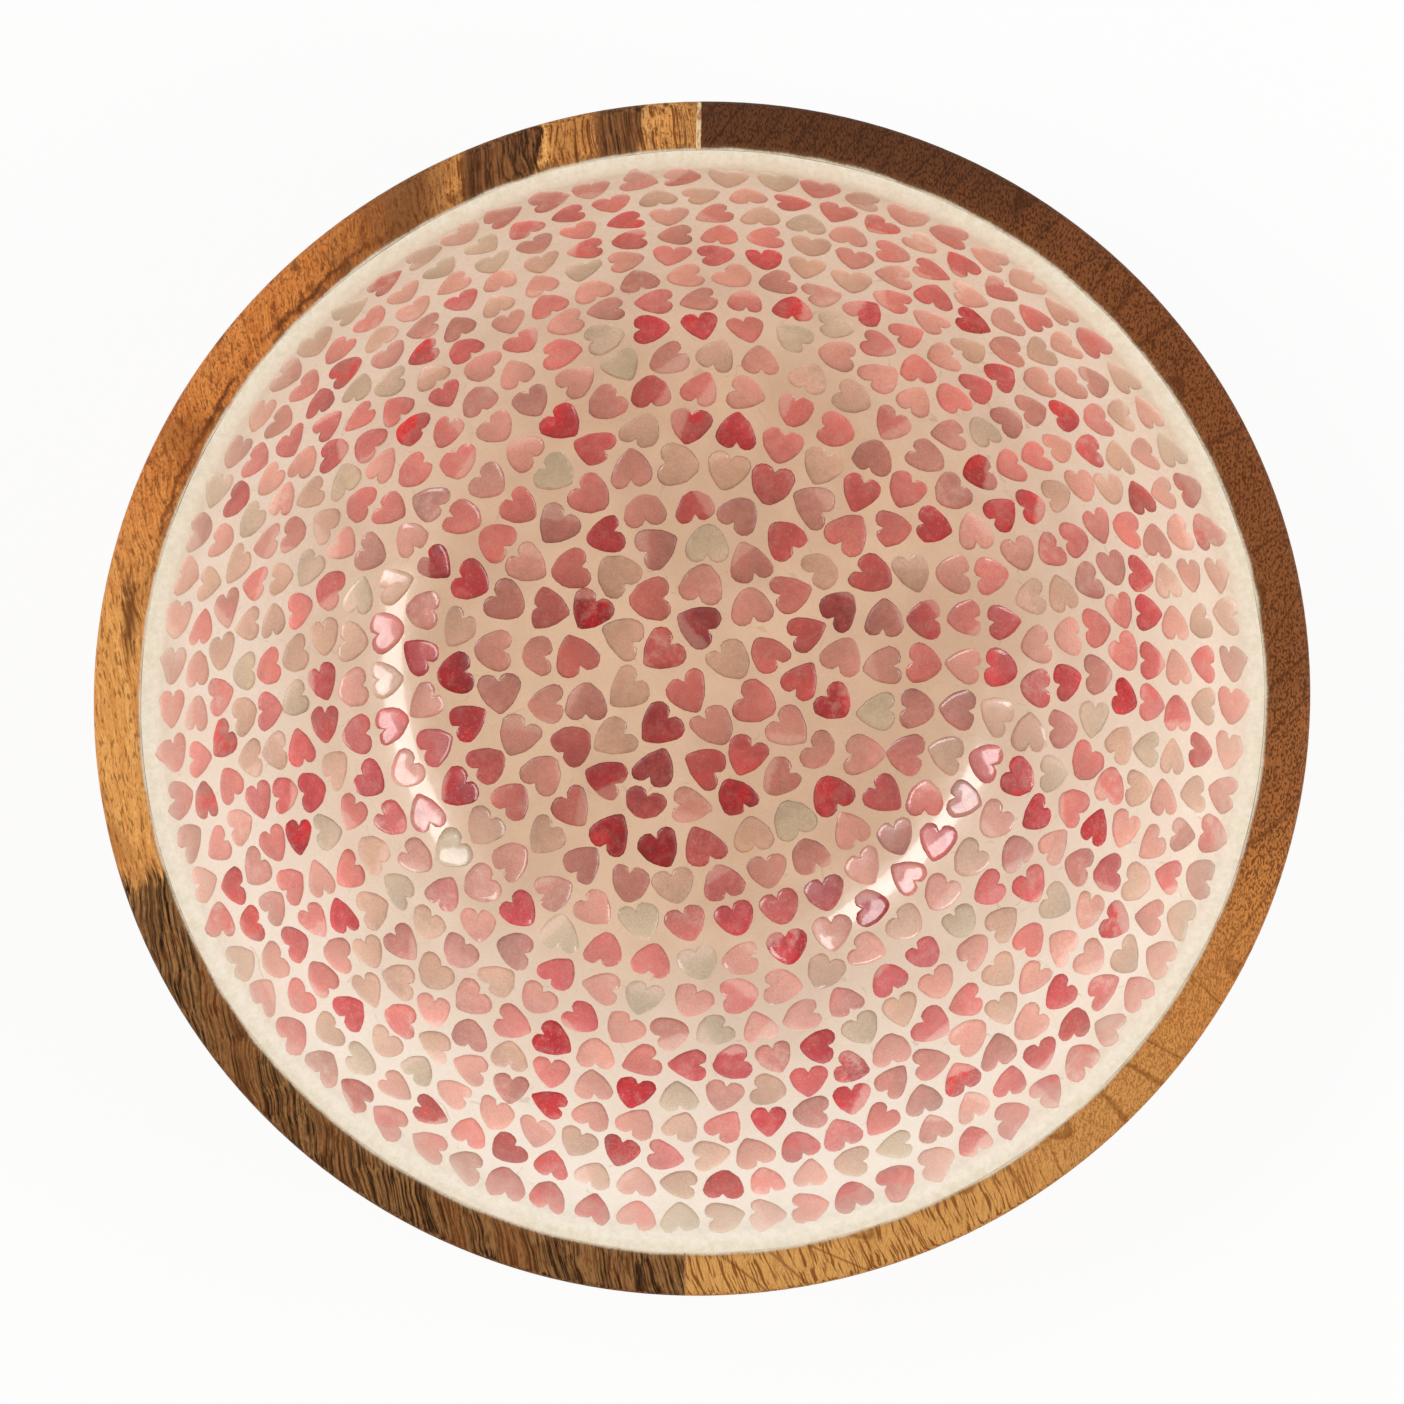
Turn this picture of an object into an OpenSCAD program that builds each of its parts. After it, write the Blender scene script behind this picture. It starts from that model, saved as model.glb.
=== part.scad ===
// Round wooden bowl, glued from two blocks and turned, lined with cream resin
// in which heart tiles of dyed shell are bedded in courses.
// The origin is the centre of the foot, +Z is up, and sizes are in millimetres.

/* [Wood] */
// Outside diameter at the rim
bowl_d = 250; // [220:1:300]
// Height from the table to the top of the rim
bowl_h = 72; // [64:1:84]
// Width of the wooden rim, seen from above
rim_w = 9.6; // [7:0.1:14]
// Rounding of the rim's outer edge
rim_ease = 1.6; // [0.6:0.1:2.6]
// Diameter of the flat foot
foot_d = 108; // [90:1:130]
// Radius of the curve of the outside
belly_r = 112; // [100:1:160]
// Wood left under the floor
base_t = 10.5; // [8:0.5:14]

/* [Hollow] */
// Diameter of the flat floor
floor_d = 88; // [76:1:100]
// Radius of the curve between floor and wall
knuckle_r = 54; // [44:1:60]
// Radius of the wall's own slight curve
wall_r = 240; // [180:5:400]

/* [Seam] */
// Offset of the seam from the bowl's axis
seam_x = -2.7; // [-8:0.1:8]
// Turn of the seam about the axis, in degrees
seam_turn = 0.7; // [-5:0.1:5]
// Width of the glue at the back of the rim
seam_back_w = 1; // [0.4:0.1:2]
// Width of the glue at the front of the rim
seam_front_w = 0.3; // [0.2:0.1:1]

/* [Lining] */
// Thickness of the resin under the hearts
bed_t = 1.4; // [1:0.1:2]
// Thickness of the resin at the lip
lip_t = 2.6; // [2.2:0.1:3.2]
// Drop of the lip below the top of the wood
lip_drop = 0.2; // [0.1:0.1:0.6]
// Rounding of the lip's inner edge
lip_round = 1.2; // [1:0.1:2.2]
// Plain band of resin between the lip's rounding and the hearts
lip_band = 0.4; // [0.3:0.1:4]
// Gap that the bond between wood and resin takes up
bond_gap = 0.1; // [0.05:0.05:0.2]

/* [Hearts] */
// Width of a whole heart
heart_w = 9.4; // [8.6:0.1:10]
// Diameter of each round lobe
lobe_d = 5.05; // [4.8:0.05:5.3]
// Radius of the two curved sides
side_r = 18; // [11:0.5:25]
// Thickness of the shell
heart_t = 1.2; // [0.8:0.1:1.6]
// Courses of hearts, from the middle of the floor to the lip
courses = 16; // [14:1:18]
// Hearts in the top course
rim_hearts = 74; // [60:1:84]
// Distance to which a heart settles against the course above it
heart_room = 9; // [8.4:0.05:9.4]
// How far a heart may stray from its course
heart_stray = 1.5; // [0:0.1:2]
// Least gap between two hearts
heart_gap = 0.35; // [0.2:0.05:0.8]
// Gap under a heart's edge
seat_gap = 0.05; // [0.02:0.01:0.1]
// Choice of layout
layout_seed = 7; // [1:1:99]

/* [Hidden] */
shades = ["crimson", "ruby", "rose", "coral", "mauve", "blush", "sand", "pearl"];
shade_colors = ["#B32A35", "#CB4752", "#CE6C6C", "#DE8C84", "#BC8580", "#E0ADA0", "#CDB094", "#C6C4AC"];
// Share of each shade among the hearts
shade_shares = [0.07, 0.1, 0.14, 0.14, 0.12, 0.21, 0.15, 0.07];
zones = ["floor", "curve", "wall", "rim"];
// Courses in each zone, counted down from the rim; the floor takes the rest
rim_courses = 2;
wall_courses = 4;
curve_courses = 4;
heart_nodes = [for (zone = zones) for (shade = shades) str("hearts_", shade, "_", zone)];

$fn = 180;
heart_fn = 48;
knuckle_steps = 16;
wall_steps = 6;
belly_steps = 20;
round_steps = 6;
// How far the courses on the floor outgrow those on the wall, as a share of the top course
course_swell = 0.18;
// How much further apart the courses lie on the floor, and nearer at the lip, as a share of the mean
pitch_swell = 0.1;
// Radius of the innermost course, as a share of the pitch
middle_share = 0.65;
// Share of its pitch by which a heart may shift along its course
course_shift = 0.05;
// Turns that are tried for each heart
turn_tries = 24;
// Slope, on a lobe, at which the side takes over, and how far the side dips below it there
shoulder_a = 30;
shoulder_dip = 0.03;
// The body of a heart starts a little above its shoulders, inside the lobes
body_a = 25;
// Radians in a degree
degree = PI / 180;

rim_r = bowl_d / 2;
// Reach of the blocks that part the wood, past the rim
cut_r = 1.1 * rim_r;
floor_r = floor_d / 2;
mouth = [rim_r - rim_w, bowl_h];

// Sections are drawn as [radius, height]. The wall's arc touches the knuckle's arc and ends at the mouth
knuckle_c = [floor_r, base_t + knuckle_r];
mouth_v = mouth - knuckle_c;
centres_l = wall_r - knuckle_r;
mouth_l = norm(mouth_v);
chord_l = (centres_l ^ 2 - wall_r ^ 2 + mouth_l ^ 2) / (2 * mouth_l);
offset_l = sqrt(centres_l ^ 2 - chord_l ^ 2);
wall_c = knuckle_c + (mouth_v * chord_l + [-mouth_v.y, mouth_v.x] * offset_l) / mouth_l;
turn_a = atan2(knuckle_c.x - wall_c.x, wall_c.y - knuckle_c.y);

// The outside is one arc from the foot to the rim
foot = [foot_d / 2, 0];
rim_edge = [rim_r, bowl_h - rim_ease];
belly_v = rim_edge - foot;
belly_l = norm(belly_v);
belly_h = sqrt(belly_r ^ 2 - (belly_l / 2) ^ 2);
belly_c = (foot + rim_edge) / 2 + [-belly_v.y, belly_v.x] * belly_h / belly_l;

// Depths of the resin's faces below the wood's, the lip's rounding, and the step down to the bed
bed_in = bond_gap + bed_t;
lip_in = bond_gap + lip_t;
lip_z = bowl_h - lip_drop;
lip_l = wall_r - lip_in + lip_round;
lip_h = wall_c.y - lip_z + lip_round;
lip_c = [wall_c.x + sqrt(lip_l ^ 2 - lip_h ^ 2), lip_z - lip_round];
lip_a = acos(lip_h / lip_l);
step_a = lip_a - lip_band / (wall_r - lip_in) / degree;

// Lengths along the bed, from its centre: to the wall, to the step, and to the top course
bed_knuckle = knuckle_r - bed_in;
bed_wall = wall_r - bed_in;
wall_s = floor_r + bed_knuckle * turn_a * degree;
step_s = wall_s + bed_wall * (step_a - turn_a) * degree;
top_s = step_s - heart_gap - heart_w / 2;
course_pitch = top_s / (courses - 1 + middle_share);

// A whole heart, point down, with its middle height at the origin
lobe_r = lobe_d / 2;
lobe_x = heart_w / 2 - lobe_r;
side_l = side_r - lobe_r + shoulder_dip;
side_x = side_l * cos(shoulder_a) - lobe_x;
side_y = side_l * sin(shoulder_a);
tip_l = sqrt(side_r ^ 2 - side_x ^ 2) - side_y;
lobe_y = (tip_l - lobe_r) / 2;
tip_y = lobe_y - tip_l;
tip_a = atan2(tip_l + side_y, side_x);
// Reach of a heart from its middle, for the seat under its edge
heart_reach = norm([lobe_x, lobe_y]) + lobe_r;

// Points along an arc
function arc(c, r, a0, a1, steps) =
    [for (i = [0:steps]) let (a = a0 + (a1 - a0) * i / steps) c + r * [cos(a), sin(a)]];

function direction(v) = atan2(v.y, v.x);

function reversed(list) = [for (i = [len(list) - 1:-1:0]) list[i]];

// Point of the hollow's section where it slopes by a, on the face that lies a depth inside the wood's
function hollow_at(a, depth) =
    a <= turn_a
    ? knuckle_c + (knuckle_r - depth) * [sin(a), -cos(a)]
    : wall_c + (wall_r - depth) * [sin(a), -cos(a)];

// Slope of that face where it reaches a height on the wall
function slope_at(z, depth) = acos((wall_c.y - z) / (wall_r - depth));

// Section of that face from the axis to the slope end_a
function hollow_points(depth, end_a) = concat(
    [[0, base_t + depth]],
    [for (i = [0:knuckle_steps]) hollow_at(turn_a * i / knuckle_steps, depth)],
    [for (i = [1:wall_steps]) hollow_at(turn_a + (end_a - turn_a) * i / wall_steps, depth)]);

wood_section = concat(
    [[0, 0]],
    arc(belly_c, belly_r, direction(foot - belly_c), direction(rim_edge - belly_c), belly_steps),
    arc(rim_edge - [rim_ease, 0], rim_ease, 0, 90, round_steps),
    reversed(hollow_points(0, slope_at(bowl_h, 0))));

lining_section = concat(
    hollow_points(bond_gap, slope_at(lip_z, bond_gap)),
    arc(lip_c, lip_round, 90, 90 + lip_a, round_steps),
    [hollow_at(step_a, lip_in)],
    reversed(hollow_points(bed_in, step_a)));

// Slope, and place as [radius, height], at a length s along the bed
function bed_slope(s) =
    s <= floor_r ? 0
    : s <= wall_s ? (s - floor_r) / bed_knuckle / degree
    : turn_a + (s - wall_s) / bed_wall / degree;

function bed_at(s) = s <= floor_r ? [s, base_t + bed_in] : hollow_at(bed_slope(s), bed_in);

// Height at which a flat heart clears the hollow bed under its edges
function seat(s) =
    let (a = bed_slope(s), round_k = sin(a) / bed_at(s).x)
    let (up_k = s < wall_s + heart_reach ? 1 / bed_knuckle : 1 / bed_wall)
    s + heart_reach < floor_r ? 0 : heart_reach ^ 2 / 2 * max(round_k, up_k) + seat_gap;

// Angle from b to a, between -180 and 180
function turned(a, b) = (a - b + 900) % 360 - 180;

// Share of the way from the middle of the floor to the top course
function course_x(k) = (k + middle_share) / (courses - 1 + middle_share);

function course_s(k) =
    let (x = course_x(k))
    top_s * (x + pitch_swell * x * (1 - x));

// Hearts in course k
function course_n(k) =
    let (x = course_x(k))
    max(3, round(rim_hearts * (x + course_swell * (x - x ^ 3))));

// Length along the bed at which a heart of course k settles against the hearts of the course above it
function settled(k, a, above) =
    let (s = course_s(k), r = bed_at(s + course_pitch / 2).x)
    let (sides = [for (h = above) [h[1], r * turned(a, h[0]) * degree]])
    let (rests = [for (h = sides) if (abs(h[1]) < heart_room) h[0] - sqrt(heart_room ^ 2 - h[1] ^ 2)])
    len(rests) == 0 ? s : max(s - heart_stray, min(s + heart_stray, min(rests)));

// Hearts of course k as [angle about the axis, length along the bed]
function course(k, above) =
    let (n = course_n(k), start = rands(0, 360, 1, layout_seed + k)[0])
    let (shifts = rands(-course_shift, course_shift, n, layout_seed + courses + k))
    [for (i = [0:n - 1]) let (a = (start + 360 * (i + shifts[i]) / n) % 360) [a, settled(k, a, above)]];

// Courses from k up to the rim
function courses_from(k) =
    k == courses - 1
    ? [course(k, [])]
    : let (above = courses_from(k + 1)) concat([course(k, above[0])], above);

// Place, uphill direction and sideways direction of a heart
function place(h) = let (p = bed_at(h[1])) [p.x * cos(h[0]), p.x * sin(h[0]), p.y];

function uphill(h) = let (b = bed_slope(h[1])) [cos(b) * cos(h[0]), cos(b) * sin(h[0]), sin(b)];

function sideways(h) = [-sin(h[0]), cos(h[0]), 0];

// Direction of v in the plane of a heart
function bearing(h, v) = atan2(v * sideways(h), v * uphill(h));

// How far a whole heart reaches in a direction, from its middle
function heart_extent(a) =
    let (x = abs(cos(a)), y = sin(a), low = -atan2(y, x))
    low > shoulder_a && low < tip_a
    ? side_r - side_x * x + (lobe_y + side_y) * y
    : max(lobe_x * x + lobe_y * y + lobe_r, tip_y * y);

// Neighbours of heart i, sought from number first to last, as
// [distance, its bearing of them, their bearing of it, their number]
function neighbours(hearts, i, first, last) =
    let (p = hearts[i][2])
    [for (j = [first:last])
        let (v = hearts[j][2] - p)
        if (j != i && abs(v.x) < 2 * heart_reach && abs(v.y) < 2 * heart_reach && norm(v) < 2 * heart_reach)
        [norm(v), bearing(hearts[i], v), bearing(hearts[j], -v), j]];

// The turn, out of a few, that keeps a heart furthest from the middle of its gaps
function best_turn(near, tries) =
    let (excess = [for (t = tries) max([0, for (n = near) heart_extent(n[1] - t) - n[0] / 2])])
    tries[search(min(excess), excess)[0]];

// Size, up to 1, at which a heart clears its neighbours
function clear_size(near, turns, i) = min([1, for (n = near)
    (n[0] - heart_gap) / (heart_extent(n[1] - turns[i]) + heart_extent(n[2] - turns[n[3]]))]);

// Zone of course k
function zone_of(k) =
    k >= courses - rim_courses ? 3
    : k >= courses - rim_courses - wall_courses ? 2
    : k >= courses - rim_courses - wall_courses - curve_courses ? 1
    : 0;

// Shade that holds a number between 0 and 1, when the shares are laid end to end
function shade_of(x, i = 0) =
    i == len(shades) - 1 || x < shade_shares[i] ? i : shade_of(x - shade_shares[i], i + 1);

// Number of the first heart of each course, and of the heart after the last
function row_starts(rows, k = 0, n = 0) =
    k == len(rows) ? [n] : concat([n], row_starts(rows, k + 1, n + len(rows[k])));

// Every heart as [angle, length along the bed, turn, size, zone, shade]
function all_hearts() =
    let (rows = courses_from(0), starts = row_starts(rows))
    let (hearts = [for (k = [0:courses - 1]) for (h = rows[k]) [h[0], h[1], place(h), k]])
    let (count = len(hearts))
    let (near = [for (i = [0:count - 1]) let (k = hearts[i][3])
        neighbours(hearts, i, starts[max(0, k - 1)], starts[min(courses, k + 2)] - 1)])
    let (spins = rands(0, 360, count * turn_tries, layout_seed))
    let (turns = [for (i = [0:count - 1])
        best_turn(near[i], [for (t = [0:turn_tries - 1]) spins[i * turn_tries + t]])])
    let (picks = rands(0, 1, count, layout_seed + 1))
    [for (i = [0:count - 1]) let (h = hearts[i])
        [h[0], h[1], turns[i], clear_size(near[i], turns, i), zone_of(h[3]), shade_of(picks[i])]];

hearts = all_hearts();

module wood_body() {
    rotate_extrude() polygon(wood_section);
}

// Side of the seam at y, left for side -1 and right for side 1
function seam_edge(side, y) =
    let (mid_w = (seam_back_w + seam_front_w) / 2, taper = (seam_back_w - seam_front_w) / bowl_d)
    [seam_x + y * tan(seam_turn) + side * (mid_w + taper * y) / 2, y];

// What an upright block with this plan cuts out of the wood
module cut_wood(plan) {
    intersection() {
        wood_body();
        linear_extrude(3 * bowl_h, center = true) polygon(plan);
    }
}

// Block of wood on one side of the seam
module wood_half(side) {
    x = side * cut_r;
    cut_wood([seam_edge(side, -cut_r), seam_edge(side, cut_r), [x, cut_r], [x, -cut_r]]);
}

module wood_half_left() {
    color("#B57A3E") wood_half(-1);
}

module wood_half_right() {
    color("#7A4E30") wood_half(1);
}

module glue_seam() {
    color("#E4D2AC")
        cut_wood([seam_edge(-1, -cut_r), seam_edge(-1, cut_r), seam_edge(1, cut_r), seam_edge(1, -cut_r)]);
}

module resin_lining() {
    color("#EFE2C8") rotate_extrude() polygon(lining_section);
}

// Outline of a heart at a size
module heart_outline(size) {
    for (side = [-1, 1])
        translate([side * lobe_x, lobe_y] * size) circle(r = lobe_r * size, $fn = heart_fn);
    intersection() {
        translate([-side_x, lobe_y + side_y] * size) circle(r = side_r * size, $fn = heart_fn * 4);
        translate([side_x, lobe_y + side_y] * size) circle(r = side_r * size, $fn = heart_fn * 4);
        translate([-heart_w, tip_y - heart_w] * size)
            square([2 * heart_w, lobe_y - lobe_r * sin(body_a) - tip_y + heart_w] * size);
    }
}

module heart_tile(h) {
    translate(place(h))
        rotate([0, -bed_slope(h[1]), h[0]])
        translate([0, 0, seat(h[1])])
        rotate(h[2])
        linear_extrude(heart_t)
        heart_outline(h[3]);
}

module heart_group(zone, shade) {
    color(shade_colors[shade]) for (h = hearts) if (h[4] == zone && h[5] == shade) heart_tile(h);
}

wood_half_left();
wood_half_right();
glue_seam();
resin_lining();
for (zone = [0:len(zones) - 1])
    for (shade = [0:len(shades) - 1])
        heart_group(zone, shade);
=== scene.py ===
import math
import random

import bpy
from mathutils import Matrix, Vector, noise


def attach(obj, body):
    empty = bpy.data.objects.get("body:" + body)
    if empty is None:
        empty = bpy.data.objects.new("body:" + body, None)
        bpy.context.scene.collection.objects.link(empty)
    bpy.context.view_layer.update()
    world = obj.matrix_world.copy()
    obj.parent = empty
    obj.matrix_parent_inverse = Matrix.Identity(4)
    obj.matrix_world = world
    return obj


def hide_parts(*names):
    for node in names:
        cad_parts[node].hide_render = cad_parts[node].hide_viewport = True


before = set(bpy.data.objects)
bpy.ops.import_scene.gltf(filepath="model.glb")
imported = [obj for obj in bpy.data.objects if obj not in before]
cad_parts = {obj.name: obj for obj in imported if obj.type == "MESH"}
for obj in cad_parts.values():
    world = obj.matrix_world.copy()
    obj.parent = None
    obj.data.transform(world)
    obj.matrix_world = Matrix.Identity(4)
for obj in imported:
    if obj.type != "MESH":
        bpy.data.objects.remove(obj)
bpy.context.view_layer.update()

mm = 0.001
print("frame loaded,", len(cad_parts), "nodes")


# small helpers

def dropSelection():
    if bpy.context.object and bpy.context.object.mode != "OBJECT":
        bpy.ops.object.mode_set(mode="OBJECT")
    bpy.ops.object.select_all(action="DESELECT")


def pickOnly(piece):
    dropSelection()
    piece.select_set(True)
    bpy.context.view_layer.objects.active = piece


def startEdit():
    bpy.ops.object.mode_set(mode="EDIT")
    bpy.ops.mesh.select_all(action="SELECT")


def endEdit():  # with all faces turned outwards
    bpy.ops.mesh.select_all(action="SELECT")
    bpy.ops.mesh.normals_make_consistent(inside=False)
    bpy.ops.object.mode_set(mode="OBJECT")


def giveMaterial(piece, material):
    piece.data.materials.clear()
    piece.data.materials.append(material)


def steps(start, end, count):
    return [start * (1 - i / count) + end * i / count for i in range(count + 1)]


def smooth(x):  # 0 up to 0, 1 from 1 on, eased between
    x = min(max(x, 0), 1)
    return x * x * (3 - 2 * x)


def srgb(red, green, blue):
    def toLinear(c):
        c = c / 255
        return c / 12.92 if c <= 0.04045 else ((c + 0.055) / 1.055) ** 2.4
    return (toLinear(red), toLinear(green), toLinear(blue), 1)


def grey(level):
    return (level, level, level, 1)


# helpers for shader nodes

def fill(tree, node, sockets):  # links what comes from a node, and sets what is a plain value
    for name, value in sockets.items():
        if isinstance(value, bpy.types.NodeSocket):
            tree.links.new(value, node.inputs[name])
        else:
            node.inputs[name].default_value = value


def put(tree, kind, sockets=None, **settings):  # a node, what goes into its sockets, and its settings
    node = tree.nodes.new(kind)
    for name, value in settings.items():
        setattr(node, name, value)
    fill(tree, node, sockets or {})
    return node


def calc(tree, operation, a, b=0.0, clamp=False):
    return put(tree, "ShaderNodeMath", {0: a, 1: b}, operation=operation, use_clamp=clamp).outputs[0]


def times(tree, a, b):
    return calc(tree, "MULTIPLY", a, b)


def plus(tree, a, b):
    return calc(tree, "ADD", a, b)


def minus(tree, a, b):
    return calc(tree, "SUBTRACT", a, b)


def plusSome(tree, a, b, share):
    return plus(tree, a, times(tree, b, share))


def ease(tree, value, low, high):  # 0 below low, 1 above high, smooth between
    return put(tree, "ShaderNodeMapRange", {"Value": value, "From Min": low, "From Max": high},
               interpolation_type="SMOOTHSTEP").outputs["Result"]


def fade(tree, value, low, high):  # 1 below low, 0 above high
    return minus(tree, 1.0, ease(tree, value, low, high))


def spread(tree, value, low, high, first=0.0, last=1.0):  # first at low, last at high, straight between
    return put(tree, "ShaderNodeMapRange", {"Value": value, "From Min": low, "From Max": high,
                                            "To Min": first, "To Max": last}).outputs["Result"]


def blendValue(tree, factor, a, b):
    return put(tree, "ShaderNodeMix", {0: factor, 2: a, 3: b}, data_type="FLOAT").outputs[0]


def blendColor(tree, factor, a, b, mode="MIX"):
    return put(tree, "ShaderNodeMix", {0: factor, 6: a, 7: b}, data_type="RGBA", blend_type=mode).outputs[2]


def tinted(tree, color, by):
    return blendColor(tree, 1.0, color, by, "MULTIPLY")


def paint(tree, under, over, mask, amount):  # lays some of one colour over another, where the mask says
    return blendColor(tree, times(tree, mask, amount), under, over)


def valueRamp(tree, factor, stops):  # a colour ramp from (position, colour) pairs
    ramp = put(tree, "ShaderNodeValToRGB", {"Fac": factor})
    elements = ramp.color_ramp.elements
    elements[0].position, elements[0].color = stops[0]
    elements[1].position, elements[1].color = stops[-1]
    for position, color in stops[1:-1]:
        elements.new(position).color = color
    return ramp.outputs["Color"]


def stretch(tree, vector, scale):  # by one number, or by one for each axis
    scale = scale if isinstance(scale, tuple) else (scale, scale, scale)
    return put(tree, "ShaderNodeVectorMath", {0: vector, 1: scale}, operation="MULTIPLY").outputs[0]


def shift(tree, vector, by):
    return put(tree, "ShaderNodeVectorMath", {0: vector, 1: by}, operation="ADD").outputs[0]


def turned(tree, vector, angle):  # about the bowl's middle line
    return put(tree, "ShaderNodeMapping", {"Vector": vector, "Rotation": (0, 0, angle)}).outputs[0]


def axes(tree, vector):
    return put(tree, "ShaderNodeSeparateXYZ", {0: vector}).outputs


def lengthOf(tree, vector):
    return put(tree, "ShaderNodeVectorMath", {0: vector}, operation="LENGTH").outputs["Value"]


def placeInMm(tree):
    return stretch(tree, put(tree, "ShaderNodeTexCoord").outputs["Object"], 1000)


def flatRadius(tree, place):  # distance from the bowl's middle line
    return lengthOf(tree, stretch(tree, place, (1, 1, 0)))


def cloud(tree, vector, scale, detail=2.0, roughness=0.5, output="Fac"):
    if isinstance(scale, tuple):
        vector, scale = stretch(tree, vector, scale), 1.0
    return put(tree, "ShaderNodeTexNoise",
               {"Vector": vector, "Scale": scale, "Detail": detail, "Roughness": roughness}).outputs[output]


def cellEdge(tree, vector, scale):  # distance from the edges of random cells
    return put(tree, "ShaderNodeTexVoronoi", {"Vector": vector, "Scale": scale},
               feature="DISTANCE_TO_EDGE").outputs["Distance"]


def bumped(tree, height, strength, depth):
    return put(tree, "ShaderNodeBump", {"Height": height, "Strength": strength, "Distance": depth}).outputs[0]


def newGroup(name, inputs, outputs):  # inputs with their kinds, and the names of the values that come out
    tree = bpy.data.node_groups.new(name, "ShaderNodeTree")
    for socketName, kind in inputs.items():
        tree.interface.new_socket(socketName, in_out="INPUT", socket_type="NodeSocket" + kind)
    for socketName in outputs:
        tree.interface.new_socket(socketName, in_out="OUTPUT", socket_type="NodeSocketFloat")
    return tree, tree.nodes.new("NodeGroupInput").outputs, tree.nodes.new("NodeGroupOutput")


def useGroup(tree, group, sockets):
    return put(tree, "ShaderNodeGroup", sockets, node_tree=group).outputs


def newMaterial(name):
    material = bpy.data.materials.new(name)
    material.use_nodes = True
    tree = material.node_tree
    return material, tree, tree.nodes["Principled BSDF"]


# the bowl's section, the same sizes as the solid parts, in metres
bowl = {
    "rimRadius": 125 * mm,
    "height": 72 * mm,
    "rimWidth": 9.6 * mm,
    "rimEase": 1.6 * mm,
    "footRadius": 54 * mm,
    "footEase": 1.2 * mm,
    "bellyRadius": 112 * mm,
    "base": 10.5 * mm,
    "floorRadius": 44 * mm,
    "kneeRadius": 54 * mm,
    "wallRadius": 240 * mm,
}
mouth = Vector((bowl["rimRadius"] - bowl["rimWidth"], bowl["height"]))
kneeCentre = Vector((bowl["floorRadius"], bowl["base"] + bowl["kneeRadius"]))


def findWallCentre():  # the wall's arc touches the knee's arc and ends at the mouth
    across = mouth - kneeCentre
    between = bowl["wallRadius"] - bowl["kneeRadius"]
    along = (between ** 2 - bowl["wallRadius"] ** 2 + across.length ** 2) / (2 * across.length)
    aside = math.sqrt(between ** 2 - along ** 2)
    return kneeCentre + (across * along + Vector((-across.y, across.x)) * aside) / across.length


wallCentre = findWallCentre()
kneeEnd = math.atan2(kneeCentre.x - wallCentre.x, wallCentre.y - kneeCentre.y)


def hollowPoint(slope, depth):  # where the hollow slopes by that much, on a face that deep inside the wood's
    centre, radius = (kneeCentre, bowl["kneeRadius"]) if slope <= kneeEnd else (wallCentre, bowl["wallRadius"])
    return centre + (radius - depth) * Vector((math.sin(slope), -math.cos(slope)))


def slopeAtHeight(z, depth):
    return math.acos((wallCentre.y - z) / (bowl["wallRadius"] - depth))


def arcPoints(centre, radius, start, end, count):
    return [centre + radius * Vector((math.cos(a), math.sin(a))) for a in steps(start, end, count)]


def drawSection(name, points):  # one corner, pulled from point to point in the XZ plane
    dropSelection()
    bpy.ops.mesh.primitive_plane_add(size=10 * mm)
    piece = bpy.context.object
    piece.name = piece.data.name = name
    startEdit()
    bpy.ops.mesh.merge(type="CENTER")
    bpy.ops.transform.translate(value=(points[0].x, 0, points[0].y))
    for a, b in zip(points, points[1:]):
        bpy.ops.mesh.extrude_region_move(TRANSFORM_OT_translate={"value": (b.x - a.x, 0, b.y - a.y)})
    return piece


def spinSection(name, points, count):
    piece = drawSection(name, points)
    bpy.ops.mesh.select_all(action="SELECT")
    bpy.ops.mesh.spin(steps=count, angle=2 * math.pi, center=(0, 0, 0), axis=(0, 0, 1))
    bpy.ops.mesh.select_all(action="SELECT")
    bpy.ops.mesh.remove_doubles(threshold=0.002 * mm)
    endEdit()
    return piece


# camera, as the photo was taken: from above, leaning a little to the back and left
shot = {
    "lean": math.radians(11.6),
    "towards": math.radians(-11.77),
    "distance": 1.25,
    "lens": 156.28,
    "sensor": 36,
    "near": 0.05,
    "aimRight": -0.57 * mm,
    "aimUp": 1.97 * mm,
}


def rightAndUp(back):  # the picture's axes, with the photo's top towards the back of the bowl
    up = (Vector((0, 1, 0)) - back * back.y).normalized()
    return up.cross(back), up


def makeCamera():
    lean, towards = shot["lean"], shot["towards"]
    back = Vector((math.sin(lean) * math.sin(towards), math.sin(lean) * math.cos(towards), math.cos(lean)))
    rimCentre = Vector((0, 0, bowl["height"]))
    place = rimCentre + back * shot["distance"]
    right, up = rightAndUp(back)
    aim = rimCentre + right * shot["aimRight"] + up * shot["aimUp"]
    back = (place - aim).normalized()
    turn = Matrix((*rightAndUp(back), back)).transposed().to_4x4()
    bpy.ops.object.camera_add()
    camera = bpy.context.object
    camera.name = "photoCamera"
    camera.data.lens = shot["lens"]
    camera.data.sensor_width = shot["sensor"]
    camera.data.clip_start = shot["near"]
    camera.matrix_world = Matrix.Translation(place) @ turn
    bpy.context.scene.camera = camera


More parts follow.
